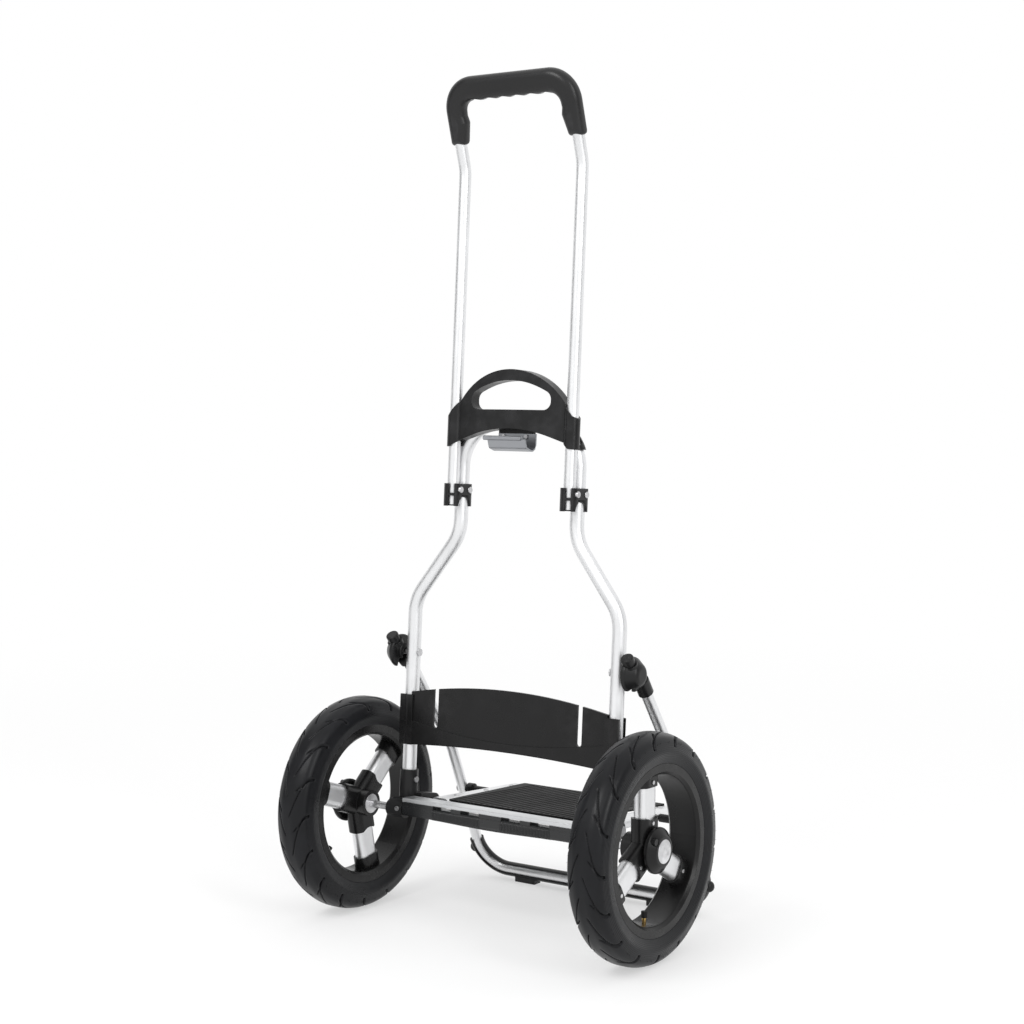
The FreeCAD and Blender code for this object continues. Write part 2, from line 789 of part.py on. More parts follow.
def make_catches():
    """Spring catches: a button in the tube's back wall, with a flange inside the tube."""
    inner = D["handle_back"] + D["handle_diameter"] / 2 - D["tube_wall"]
    button = rounded(rod("Y", D["catch_radius"], 5.3, D["handle_half"], inner - 1.6, D["catch_up"]), 1.2,
                     lambda edge: edge.BoundBox.YMin > 17)
    flange = rod("Y", 3.9, 1.0, D["handle_half"], inner - 2.6, D["catch_up"])
    pair("handle_catch", fuse(button, flange))


# ---------------------------------------------------------------- platform

def make_rails():
    """Rounded hollow rails of the platform, bored for the hinge pin and the loop pin."""
    low, high = D["rail_bottom"], D["rail_top"]
    inner, outer = D["rail_inner"], D["rail_outer"]
    wall = 1.8
    front, rear = D["rail_front"], D["rail_rear"]
    skin = slab("XZ", [(inner, low, 6), (outer, low, 6), (outer, high, 6), (inner, high, 6)], front, rear)
    core = slab("XZ", [
        (inner + wall, low + wall, 4.2), (outer - wall, low + wall, 4.2),
        (outer - wall, high - wall, 4.2), (inner + wall, high - wall, 4.2),
    ], front - 5, rear - 4)
    hinge = rod("X", D["hinge_pin_radius"] + D["pin_play"], 60, inner - 10, D["hinge_back"], D["hinge_up"])
    loop = rod("X", D["loop_pin_radius"] + D["seat_play"], 40, inner + 8, D["loop_pivot_back"],
               D["loop_pivot_up"])
    pair("platform_rail", cut(skin, core, hinge, loop))


def make_platform_deck():
    inner = D["rail_inner"] - 0.1
    bar = block((-inner, inner), (66, 72), (2.6, 8.2))
    node("platform_bar", rounded(bar, 1.4, lambda edge: edge.BoundBox.XLength > 50))
    top = D["rail_top"]
    plate = slab("XY", [
        (104, 38, 3), (118, 237, 3), (-118, 237, 3), (-104, 38, 3),
    ], top + 0.05, top + 0.05 + D["plate_thickness"])
    ribs = [block((x - 1.2, x + 1.2), (60, 230), (top - 3, top + 1)) for x in (-80, -40, 0, 40, 80)]
    skirt = block((-100, 100), (38, 40), (top - 8, top + 1))
    node("platform_plate", fuse(plate, skirt, *ribs))
    rivets = []
    for y in (84, 152, 214):
        head = common(ball(5.2, 124.5, y, top - 3.2), rod("Z", 4, 4, 124.5, y, top + 0.05))
        rivets.append(head)
    instance("platform_rivets", rivets + [mirrored(item) for item in rivets])


def make_stay_arms():
    """Arms on the rails that carry the foot loop's pivot pins."""
    back, up = D["loop_pivot_back"], D["loop_pivot_up"]
    start, end = D["rail_outer"] + 0.05, D["loop_half"] - D["loop_diameter"] / 2 - 0.5
    arm = fuse(rod("X", 5.6, end - start, start, back, up), rod("X", 8.5, 9, end - 9, back, up))
    void = rod("X", D["loop_pin_radius"] + D["seat_play"], 80, D["rail_outer"] - 10, back, up)
    pair("stay_arm", cut(arm, void))
    outer = D["loop_half"] + D["loop_diameter"] / 2 + 0.4
    pin = fuse(
        rod("X", D["loop_pin_radius"], outer - D["rail_outer"] + 12, D["rail_outer"] - 12, back, up),
        rod("X", 6, 2.2, outer, back, up),
    )
    instance("loop_pins", [pin, mirrored(pin)])


# ---------------------------------------------------------------- foot loop

STAY_UP = Rotation(Vector(1, 0, 0), V["stay_lean"])
LOOP_BEND = Vector(V["loop_half"], V["loop_bend_back"], V["loop_bend_up"])
LOOP_FOOT = Vector(V["loop_half"], V["loop_foot_back"], V["loop_foot_up"])
STAY_TOP = LOOP_BEND + STAY_UP.multVec(Vector(0, 0, V["stay_length"]))


def loop_run(extra=0.0):
    top = STAY_TOP + STAY_UP.multVec(Vector(0, 0, extra))
    right = [top, LOOP_BEND, LOOP_FOOT]
    left = [Vector(-p.x, p.y, p.z) for p in reversed(right)]
    return bent_run(right + left, [90.0, V["loop_corner"], V["loop_corner"], 90.0])


def foot_points(share):
    """The loop's foot only, starting a share of the way up each leg."""
    right = [LOOP_FOOT + (LOOP_BEND - LOOP_FOOT) * share, LOOP_FOOT]
    return right + [Vector(-p.x, p.y, p.z) for p in reversed(right)]


def foot_run(share):
    return bent_run(foot_points(share), [V["loop_corner"], V["loop_corner"]])


def make_loop_tube():
    radius = V["loop_diameter"] / 2
    tube = feature(swept(loop_run(), radius).cut(swept(loop_run(1.0), radius - V["tube_wall"])))
    pin = rod("X", D["loop_pin_radius"] + D["pin_play"], D["loop_half"] * 2 + 40, -D["loop_half"] - 20,
              D["loop_pivot_back"], D["loop_pivot_up"])
    node("loop_tube", cut(tube, pin))


def make_foot_shoe():
    """Moulded shoe on the outer side of the loop's foot: a C section that leaves the front open."""
    points = foot_points(0.225)
    start = points[0]
    along = (points[1] - start).normalize()
    outward = Vector(1, 0, 0)
    forward = along.cross(outward)
    if forward.y > 0:
        forward = forward * -1

    def rim_point(radius, degrees):
        turn = math.radians(degrees)
        return start + (forward * math.cos(turn) + outward * math.sin(turn)) * radius

    inner, outer = V["loop_diameter"] / 2 + V["seat_play"], V["shoe_radius"]
    open_from, open_to = 12.0, 280.0
    middle = (open_from + open_to) / 2
    section = Part.Wire([
        Part.Arc(*[rim_point(outer, a) for a in (open_from, middle, open_to)]).toShape(),
        Part.LineSegment(rim_point(outer, open_to), rim_point(inner, open_to)).toShape(),
        Part.Arc(*[rim_point(inner, a) for a in (open_to, middle, open_from)]).toShape(),
        Part.LineSegment(rim_point(inner, open_from), rim_point(outer, open_from)).toShape(),
    ])
    channel = rolled(points, [V["loop_corner"], V["loop_corner"]], Part.Face(section))
    clear = swept(foot_run(0.3), inner + 0.1)
    for side in (1, -1):
        centre = foot_points(0.15)[0] + Vector(6.0, 0, 0)
        centre.x *= side
        channel = channel.fuse(Part.makeSphere(8.0, centre).cut(clear))
    node("foot_shoe", feature(channel))


def make_foot_pads():
    """Two pads under the foot bar, with flat soles on the floor."""
    pads = []
    foot = LEANING.multVec(LOOP_FOOT)
    void = swept(foot_run(0.3), V["shoe_radius"] + V["seat_play"])
    void.Placement = LEANING
    for side in (1, -1):
        pad = Part.makeBox(34, 15, 12, Vector(side * 111 - 17, foot.y - 7.5, 0))
        pads.append(pad.cut(void))
    node("foot_pads", feature(Part.makeCompound(pads)), Placement())


def make_stay_joints():
    """Side joints: a domed housing on the stay that hooks over the frame's stud."""
    back, up = D["joint_back"], D["joint_up"]
    inner, outer = V["joint_inner"], V["joint_outer"]
    width = outer - inner
    radius = D["joint_radius"]
    body = turned([
        (0, 0.0, 0), (0, radius - 11, 1), (5.4, radius - 11, 0), (5.4, radius, 1.5),
        (11, radius, 6), (width, radius - 11, 9), (width, 0.0, 0),
    ])
    dome = doc.addObject("Part::Compound", "dome")
    dome.Links = [body]
    at(dome, inner, back, up)
    collar_start = STAY_TOP + STAY_UP.multVec(Vector(0, 0, -8))
    collar = rod("Z", 10.2, 22, collar_start.x, collar_start.y, collar_start.z, STAY_UP)
    housing_start = Vector(V["loop_half"], V["joint_back"], V["joint_up"])
    barrel = rod("Z", 10.6, 18, housing_start.x, housing_start.y, housing_start.z, STAY_UP)
    tube_void = feature(swept(loop_run(0.5), V["loop_diameter"] / 2 + V["seat_play"]))
    push_start = housing_start + STAY_UP.multVec(Vector(0, 0, 10))
    push_void = rod("Z", D["push_radius"] + 0.25, 20, push_start.x, push_start.y, push_start.z, STAY_UP)
    slot_half = D["stud_radius"] + 1.0
    slot = slab("YZ", [
        (back - slot_half + 1, up + 5, 4), (back + slot_half + 2, up + 5, 4),
        (back + slot_half + 1, up - 30, 0), (back - slot_half - 8, up - 30, 0),
    ], inner - 1, inner + 17.5)
    joint = cut(fuse(dome, collar, barrel), tube_void, push_void, slot)
    pair("stay_joint", joint)
    button_start = housing_start + STAY_UP.multVec(Vector(0, 0, 15.5))
    button = rod("Z", D["push_radius"], 14, button_start.x, button_start.y, button_start.z, STAY_UP)
    button = rounded(button, 2.0, lambda edge: edge.BoundBox.Center.distanceToPoint(
        button_start + STAY_UP.multVec(Vector(0, 0, 14))) < 0.5)
    pair("stay_button", button)


# ---------------------------------------------------------------- wheels

def polar(source, angle):
    """A copy of a shape turned about the X axis."""
    turned_copy = doc.addObject("Part::Compound", "turned_copy")
    turned_copy.Links = [source]
    turned_copy.Placement = Placement(Vector(), Rotation(Vector(1, 0, 0), angle))
    return turned_copy


def around(source):
    return [polar(source, 360.0 / SPOKES * i) for i in range(SPOKES)]


def oblong(wide, deep, radius, low, high):
    """A prism along the radial Z direction with a rounded section."""
    half_deep, half_wide = as_size(deep) / 2, as_size(wide) / 2
    return slab("XY", [
        (-half_deep, -half_wide, radius), (half_deep, -half_wide, radius),
        (half_deep, half_wide, radius), (-half_deep, half_wide, radius),
    ], low, high)


def wheel_shapes():
    """Every piece of a wheel, about its centre with +X outwards and the first spoke along Z."""
    shapes = {}
    tread, side = D["wheel_radius"], D["tyre_half"]
    rim, half = D["rim_radius"], D["rim_half"]
    outer = [(half - 3.3, rim - 5, 0), (half - 3.3, rim + 0.2, 0), (half + 0.2, rim + 0.2, 0),
             (side, rim + 14, 11), (side - 4.5, tread - 5.5, 13), (9, tread, 25)]
    inner = [(-8.5, tread - 4.5, 18), (-(side - 8), tread - 9, 10), (-(side - 4), rim + 14, 9),
             (-(half - 7.3), rim + 0.2, 0), (-(half - 7.3), rim - 5, 0)]
    left = [(-as_size(x), y, r) for x, y, r in reversed(outer)]
    right = [(-as_size(x), y, r) for x, y, r in reversed(inner)]
    shapes["tyre"] = turned(outer + left + list(reversed(inner)) + list(reversed(right)))
    centre = rim + 13
    shapes["inner_tube"] = feature(
        Part.makeTorus(centre.value, 17.3, Vector(), Vector(1, 0, 0)).cut(
            Part.makeTorus(centre.value, 15.8, Vector(), Vector(1, 0, 0))))
    barrel = D["barrel_radius"]
    profile = [(half, rim, 0), (half - 2.9, rim, 0), (half - 2.9, rim - 6, 0), (11, rim - 7.5, 3),
               (9, barrel + 3.2, 3)]
    bore = [(-(half - 4), barrel, 2), (-half, barrel + 4, 0)]
    rim_corners = profile + [(-as_size(x), y, r) for x, y, r in reversed(profile)]
    rim_corners += [(-half, barrel + 4, 0), (-(half - 4), barrel, 2), (half - 4, barrel, 2),
                    (half, barrel + 4, 0)]
    valve_hole = rod("Z", D["valve_radius"] + 0.1, 30, 0, 0, -barrel - 15)
    shapes["rim"] = cut(turned(rim_corners), valve_hole)
    wide, deep, wall = D["spoke_wide"], D["spoke_deep"], D["spoke_wall"]
    spoke = cut(oblong(wide, deep, 9.3, 27, 86), oblong(wide - wall * 2, deep - wall * 2, 7.4, 26, 87))
    shapes["spokes"] = around(spoke)
    socket = common(
        cut(oblong(wide + 5, deep + 5, 11.4, 78, 98), oblong(wide + 0.1, deep + 0.1, 9.3, 70, 86.1)),
        rod("X", barrel - 0.1, 40, -20, 0, 0))
    socket = cut(socket, rod("X", 2.6, 6, deep / 2 + 1.4, 0, 84))
    shapes["rim_sockets"] = around(socket)
    core = rod("X", D["hub_radius"], 37, -24, 0, 0)
    sleeve = oblong(wide + 6, deep + 6, 11, 8, 40)
    scallop = rod("X", 20, 60, -30, 0, 57)
    pocket = oblong(wide + 0.1, deep + 0.1, 9.3, 26.9, 60)
    arms = around(sleeve)
    cuts = around(pocket) + around(scallop)
    bearing = D["bearing_radius"]
    bore_through = rod("X", D["axle_radius"] + 1.2, 80, -40, 0, 0)
    seats = [rod("X", bearing + 0.05, 9, -25, 0, 0), rod("X", bearing + 0.05, 12, 5, 0, 0)]
    screw_seats = around(rod("X", 2.6, 6, deep / 2 + 1.4, 0, 33))
    shapes["hub"] = cut(fuse(core, *arms), bore_through, *(cuts + seats + screw_seats))
    screw = rod("X", 2.5, 2.4, deep / 2 + 1.5, 0, 33)
    socket_screw = rod("X", 2.5, 2.4, deep / 2 + 1.5, 0, 84)
    shapes["wheel_screws"] = around(screw) + around(socket_screw)
    bearings = []
    for start, length in ((-24.4, 8.3), (5.1, 8)):
        bearings.append(cut(rod("X", bearing, length, start, 0, 0),
                            rod("X", D["axle_radius"] + D["pin_play"], 20, start - 2, 0, 0)))
    shapes["bearings"] = bearings
    cap, face = D["cap_radius"], D["cap_face"]
    cap_body = turned([
        (15, 0.0, 0), (15, cap - 3, 0), (17, cap, 0), (21, cap, 3), (face, 19, 5), (face, 0.0, 0),
    ])
    cap_void = rod("X", 14, 7.2, 14.5, 0, 0)
    face_seat = rod("X", 15.1, 2, face - 0.8, 0, 0)
    latch_seat = slab("YZ", [
        (-4.6, 17.4, 4.4), (4.6, 17.4, 4.4), (4.6, 27.2, 4.4), (-4.6, 27.2, 4.4),
    ], 17, 40)
    latch_turn = polar(latch_seat, 50.0)
    shapes["hub_cap"] = cut(cap_body, cap_void, face_seat, latch_turn)
    shapes["cap_disc"] = rod("X", 15, 1.1, face - 0.75, 0, 0)
    latch = slab("YZ", [
        (-4.2, 17.8, 4.1), (4.2, 17.8, 4.1), (4.2, 26.8, 4.1), (-4.2, 26.8, 4.1),
    ], 20.5, 28)
    shapes["release_button"] = polar(latch, 50.0)
    shapes["valve_stem"] = rod("Z", D["valve_radius"], 20, 0, 0, -barrel - 8.4)
    shapes["valve_cap"] = cut(
        rod("Z", 3.8, 8, 0, 0, -barrel + 7),
        rod("Z", D["valve_radius"] + 0.05, 4.8, 0, 0, -barrel + 6.9))
    return shapes


def make_wheels():
    for name, shape in wheel_shapes().items():
        shapes = shape if isinstance(shape, list) else [shape]
        offset = Vector(V["track_half"], -V["axle_ahead"], V["axle_height"])
        turn = Rotation(Vector(1, 0, 0), RIGHT_SPOKE_ANGLE - 90.0)
        instance("wheel_right_" + name, shapes, Placement(offset, turn))
        offset = Vector(-V["track_half"], -V["axle_ahead"], V["axle_height"])
        turn = Rotation(Vector(1, 0, 0), LEFT_SPOKE_ANGLE - 90.0)
        instance("wheel_left_" + name, [mirrored(item) for item in shapes], Placement(offset, turn))


# ---------------------------------------------------------------- build and export

make_main_tube()
make_carry_bracket()
hook_screws = make_bag_hook()
make_clamps()
make_back_panel()
make_frame_screws(hook_screws, make_corner_brackets())
make_axle()
make_stay_studs()
make_platform_pins()
make_handle_tube()
make_handle_grip()
make_handle_plugs()
make_catches()
make_rails()
make_platform_deck()
make_stay_arms()
make_loop_tube()
make_foot_shoe()
make_foot_pads()
make_stay_joints()
make_wheels()
doc.recompute()

for obj in doc.Objects:
    if "Invalid" in obj.State or "Error" in obj.State:
        raise RuntimeError("%s (%s) failed: %s" % (obj.Name, obj.Label, obj.State))
for obj in nodes:
    if obj.Shape.isNull() or not obj.Shape.isValid() or not obj.Shape.Solids:
        raise RuntimeError("%s has no valid solid" % obj.Label)

os.makedirs("parts", exist_ok=True)
for obj in nodes:
    obj.Shape.exportStep(os.path.join("parts", obj.Label + ".step"))
print("wrote", len(nodes), "nodes")
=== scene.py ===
import json
import math

import bmesh
import bpy
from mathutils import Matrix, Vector


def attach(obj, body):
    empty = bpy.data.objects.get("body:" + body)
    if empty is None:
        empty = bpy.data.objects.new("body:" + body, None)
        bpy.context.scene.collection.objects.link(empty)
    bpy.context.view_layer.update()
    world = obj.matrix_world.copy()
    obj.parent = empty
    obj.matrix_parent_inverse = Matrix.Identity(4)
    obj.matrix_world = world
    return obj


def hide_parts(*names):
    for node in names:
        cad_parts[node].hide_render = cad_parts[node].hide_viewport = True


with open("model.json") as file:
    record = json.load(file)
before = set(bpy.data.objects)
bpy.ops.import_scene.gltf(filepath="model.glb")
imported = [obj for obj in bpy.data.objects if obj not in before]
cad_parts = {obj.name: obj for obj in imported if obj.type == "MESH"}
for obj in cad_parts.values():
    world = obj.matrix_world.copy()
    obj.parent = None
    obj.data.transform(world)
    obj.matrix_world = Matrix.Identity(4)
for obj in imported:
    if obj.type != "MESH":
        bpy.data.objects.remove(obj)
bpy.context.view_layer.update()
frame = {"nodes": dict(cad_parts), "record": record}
nodes = frame["nodes"]
scene = bpy.context.scene

LEAN = math.radians(3.9)
AXLE = Vector((0.0, -0.05, 0.145))
WHEELS = {"right": 0.231, "left": -0.231}

CAMERA_LENS = 68.58
CAMERA_PLACE = (1.4828, -2.0815, 0.729)
CAMERA_TILT = 86.0
CAMERA_HEADING = 35.58

FLOOR_SIZE = 24
FLOOR_GREY = 0.9
FADE_NEAR, FADE_FAR = 0.8, 3.0
FADE_START = 0.5
CARD_HEIGHT = 3.4
CARD_TARGET = (0, 0, 0.7)


# ------------------------------------------------------------ camera, floor and light

def make_camera():
    """The camera at the photographed object's front right, a little above its middle."""
    camera = bpy.data.cameras.new("camera")
    camera.sensor_width = 36.0
    camera.lens = CAMERA_LENS
    camera.clip_end = 50.0
    rig = bpy.data.objects.new("camera", camera)
    rig.location = CAMERA_PLACE
    rig.rotation_euler = (math.radians(CAMERA_TILT), 0.0, math.radians(CAMERA_HEADING))
    scene.collection.objects.link(rig)
    scene.camera = rig


def area_light(name, place, target, width, height, power):
    """A soft rectangular lamp that faces a point."""
    light = bpy.data.lights.new(name, "AREA")
    light.shape = "RECTANGLE"
    light.size = width
    light.size_y = height
    light.energy = power
    rig = bpy.data.objects.new(name, light)
    rig.location = place
    rig.rotation_euler = (Vector(target) - Vector(place)).to_track_quat("-Z", "Y").to_euler()
    scene.collection.objects.link(rig)


def sheet(name, width, height, place, look_at, grey):
    """A flat stage card or floor that faces a point."""
    mesh = bpy.data.meshes.new(name)
    grid = bmesh.new()
    bmesh.ops.create_grid(grid, x_segments=2, y_segments=2, size=0.5)
    for vertex in grid.verts:
        vertex.co.x *= width
        vertex.co.y *= height
    grid.to_mesh(mesh)
    grid.free()
    card = bpy.data.objects.new(name, mesh)
    card.location = place
    card.rotation_euler = (Vector(look_at) - Vector(place)).to_track_quat("Z", "Y").to_euler()
    scene.collection.objects.link(card)
    material = bpy.data.materials.new(name + "_finish")
    material.use_nodes = True
    shader = material.node_tree.nodes["Principled BSDF"]
    shader.inputs["Base Color"].default_value = (grey, grey, grey, 1)
    shader.inputs["Roughness"].default_value = 0.9
    shader.inputs["Specular IOR Level"].default_value = 0.1
    mesh.materials.append(material)
    return card


def fade_to_white(floor):
    """Let the floor pass into the white background with distance, with no horizon line."""
    tree = floor.data.materials[0].node_tree
    place = tree.nodes.new("ShaderNodeTexCoord")
    distance = tree.nodes.new("ShaderNodeVectorMath")
    distance.operation = "LENGTH"
    share = tree.nodes.new("ShaderNodeMapRange")
    share.interpolation_type = "SMOOTHSTEP"
    share.inputs["From Min"].default_value = FADE_NEAR
    share.inputs["From Max"].default_value = FADE_FAR
    share.inputs["To Min"].default_value = FADE_START
    glow = tree.nodes.new("ShaderNodeEmission")
    glow.inputs["Strength"].default_value = 1.0
    mixed = tree.nodes.new("ShaderNodeMixShader")
    shader, output = tree.nodes["Principled BSDF"], tree.nodes["Material Output"]
    tree.links.new(place.outputs["Object"], distance.inputs[0])
    tree.links.new(distance.outputs["Value"], share.inputs["Value"])
    tree.links.new(share.outputs[0], mixed.inputs[0])
    tree.links.new(shader.outputs[0], mixed.inputs[1])
    tree.links.new(glow.outputs[0], mixed.inputs[2])
    tree.links.new(mixed.outputs[0], output.inputs["Surface"])


def make_stage():
    """A pale floor, a white world, two dark cards for the metal to reflect, and two lamps."""
    floor = sheet("floor", FLOOR_SIZE, FLOOR_SIZE, (0, 0, 0), (0, 0, 1), FLOOR_GREY)
    fade_to_white(floor)
    sheet("card_left", 1.5, CARD_HEIGHT, (-2.6, -1.3, 1.7), CARD_TARGET, 0.16)
    sheet("card_right", 1.0, CARD_HEIGHT, (3.1, 0.5, 1.7), CARD_TARGET, 0.12)
    world = bpy.data.worlds.new("studio")
    world.use_nodes = True
    background = world.node_tree.nodes["Background"]
    background.inputs["Color"].default_value = (1, 1, 1, 1)
    background.inputs["Strength"].default_value = 1.0
    scene.world = world
    scene.view_settings.view_transform = "Standard"
    area_light("key", (-0.4, -2.6, 2.9), (0, 0, 0.5), 1.5, 1.1, 42)
    area_light("side", (2.4, -0.9, 1.8), (0, 0, 0.6), 0.5, 1.8, 20)


# ------------------------------------------------------------ finishes

class Finish:
    """A node-based material, laid out in the leaning frame, with short calls for its nodes."""

    def __init__(self, name):
        self.material = bpy.data.materials.new(name)
        self.material.use_nodes = True
        self.tree = self.material.node_tree
        self.shader = self.tree.nodes["Principled BSDF"]
        source = self.add("ShaderNodeTexCoord").outputs["Object"]
        leaning_place = self.add("ShaderNodeMapping", Vector=source)
        leaning_place.vector_type = "TEXTURE"
        leaning_place.inputs["Location"].default_value = AXLE
        leaning_place.inputs["Rotation"].default_value = (-LEAN, 0, 0)
        self.place = leaning_place.outputs[0]

    def add(self, kind, **inputs):
        item = self.tree.nodes.new(kind)
        for name, value in inputs.items():
            self.feed(item.inputs[name.replace("_", " ")], value)
        return item

    def feed(self, socket, value):
        if isinstance(value, bpy.types.NodeSocket):
            self.tree.links.new(value, socket)
        else:
            socket.default_value = value

    def set(self, **inputs):
        for name, value in inputs.items():
            self.feed(self.shader.inputs[name.replace("_", " ")], value)

    def scaled(self, x, y, z):
        item = self.add("ShaderNodeMapping", Vector=self.place)
        item.inputs["Scale"].default_value = (x, y, z)
        return item.outputs[0]

    def noise(self, scale, detail, roughness=0.55, vector=None):
        item = self.add("ShaderNodeTexNoise", Vector=vector or self.place, Scale=scale,
                        Detail=detail, Roughness=roughness)
        return item.outputs["Fac"]

    def maths(self, operation, first, second=0.0):
        item = self.tree.nodes.new("ShaderNodeMath")
        item.operation = operation
        for socket, value in zip(item.inputs, (first, second)):
            self.feed(socket, value)
        return item.outputs[0]

    def span(self, value, low, high, to_low=0.0, to_high=1.0):
        item = self.tree.nodes.new("ShaderNodeMapRange")
        for name, number in (("Value", value), ("From Min", low), ("From Max", high),
                             ("To Min", to_low), ("To Max", to_high)):
            self.feed(item.inputs[name], number)
        return item.outputs[0]

    def mix(self, share, first, second):
        item = self.tree.nodes.new("ShaderNodeMix")
        item.data_type = "RGBA"
        self.feed(item.inputs[0], share)
        for socket, colour in ((item.inputs[6], first), (item.inputs[7], second)):
            self.feed(socket, colour if isinstance(colour, bpy.types.NodeSocket) else (*colour, 1))
        return item.outputs[2]

    def axis(self, letter):
        return self.add("ShaderNodeSeparateXYZ", Vector=self.place).outputs[letter]

    def edges(self, low=0.52, high=0.62):
        """High where an edge stands proud, broken up so that wear is uneven."""
        worn = self.add("ShaderNodeNewGeometry").outputs["Pointiness"]
        patchy = self.span(self.noise(55.0, 5.0), 0.42, 0.66)
        return self.maths("MULTIPLY", self.span(worn, low, high), patchy)

    def bump(self, height, distance, strength, rounding=0.0006):
        """A bump over softened edges; distance and rounding are in metres."""
        softened = self.add("ShaderNodeBevel", Radius=rounding).outputs[0]
        item = self.add("ShaderNodeBump", Height=height, Distance=distance, Strength=strength)
        self.tree.links.new(softened, item.inputs["Normal"])
        return item.outputs[0]


def drawn_metal(name, colour, roughness, along=(260, 260, 12)):
    """Satin metal with fine lines along the draw, faint clouding and small handling marks."""
    finish = Finish(name)
    lines = finish.noise(1.0, 3.0, 0.6, finish.scaled(*along))
    cloud = finish.noise(9.0, 5.0, 0.6)
    marks = finish.span(finish.noise(70.0, 6.0, 0.7, finish.scaled(1, 1, 0.3)), 0.62, 0.72)
    dull = tuple(channel * 0.86 for channel in colour)
    tone = finish.mix(finish.span(cloud, 0.3, 0.7), colour, dull)
    tone = finish.mix(finish.maths("MULTIPLY", marks, 0.35), tone, tuple(c * 0.6 for c in colour))
    spread = finish.span(lines, 0.25, 0.75, roughness - 0.05, roughness + 0.07)
    rough = finish.maths("ADD", spread, finish.maths("MULTIPLY", marks, 0.06))
    finish.set(Base_Color=tone, Metallic=1.0, Roughness=rough,
               Normal=finish.bump(lines, 0.000006, 0.4))
    return finish.material


def moulded(name, colour, roughness, gloss, grain=0.00006, scale=900.0):
    """Black moulded plastic: spark-eroded grain, cloudy sheen, paler rubbed edges and dust."""
    finish = Finish(name)
    fine = finish.noise(scale, 3.0, 0.65)
    coarse = finish.noise(scale / 5.0, 2.0, 0.5)
    cloud = finish.noise(14.0, 5.0, 0.6)
    worn = finish.edges()
    dusty = finish.span(finish.noise(32.0, 8.0, 0.7), 0.55, 0.8, 0.0, 0.4)
    pale = tuple(channel * 2.6 for channel in colour)
    tone = finish.mix(finish.span(cloud, 0.3, 0.75), colour, tuple(c * 1.45 for c in colour))
    tone = finish.mix(finish.maths("MULTIPLY", dusty, 0.35), tone, pale)
    tone = finish.mix(finish.maths("MULTIPLY", worn, 0.7), tone, tuple(c * 1.3 for c in pale))
    rough = finish.span(cloud, 0.25, 0.75, roughness - 0.06, roughness + 0.08)
    rough = finish.maths("SUBTRACT", rough, finish.maths("MULTIPLY", worn, 0.12))
    height = finish.maths("ADD", fine, finish.maths("MULTIPLY", coarse, 0.6))
    finish.set(Base_Color=tone, Roughness=rough, Specular_IOR_Level=gloss,
               Normal=finish.bump(height, grain, 0.7, 0.0008))
    return finish.material


def ribbed_deck(name, colour):
    """The load plate and its ribs: fine grain, rubbed paler along the tops where a load slides."""
    rib_foot, rib_crest = 0.01485, 0.0156
    finish = Finish(name)
    grain = finish.noise(800.0, 3.0, 0.6)
    cloud = finish.noise(18.0, 6.0, 0.65, finish.scaled(1, 0.25, 1))
    scuffs = finish.span(finish.noise(60.0, 6.0, 0.7, finish.scaled(1, 0.12, 1)), 0.55, 0.75)
    proud = finish.span(finish.axis("Z"), rib_foot, rib_crest)
    worn = finish.maths("MULTIPLY", proud, finish.maths("ADD", scuffs, finish.span(cloud, 0.45, 0.8)))
    tone = finish.mix(finish.maths("MULTIPLY", worn, 0.4), colour, tuple(c * 2.6 for c in colour))
    height = finish.maths("ADD", grain, finish.maths("MULTIPLY", scuffs, -0.5))
    finish.set(Base_Color=tone, Roughness=finish.span(cloud, 0.3, 0.7, 0.46, 0.62),
               Specular_IOR_Level=0.15, Normal=finish.bump(height, 0.00008, 0.8))
    return finish.material


def beam_finish(name):
    """Glossy black beam with faint draw lines, and a bare metal strip on its top."""
    strip_low, strip_full = 0.0112, 0.0115
    finish = Finish(name)
    strip = finish.span(finish.axis("Z"), strip_low, strip_full)
    cloud = finish.noise(24.0, 5.0, 0.6)
    drawn = finish.noise(1.0, 3.0, 0.6, finish.scaled(9, 500, 500))
    black = finish.mix(cloud, (0.005, 0.0055, 0.006), (0.011, 0.0115, 0.0125))
    silver = finish.mix(cloud, (0.70, 0.71, 0.72), (0.56, 0.57, 0.58))
    rough = finish.span(cloud, 0.3, 0.7, 0.20, 0.32)
    rough = finish.maths("ADD", rough, finish.maths("MULTIPLY", strip, 0.10))
    height = finish.maths("ADD", drawn, finish.maths("MULTIPLY", cloud, 0.3))
    finish.set(Base_Color=finish.mix(strip, black, silver), Metallic=strip, Roughness=rough,
               Specular_IOR_Level=0.4, Coat_Weight=finish.span(strip, 0.0, 1.0, 0.25, 0.0),
               Coat_Roughness=0.12, Normal=finish.bump(height, 0.00003, 0.7))
    return finish.material


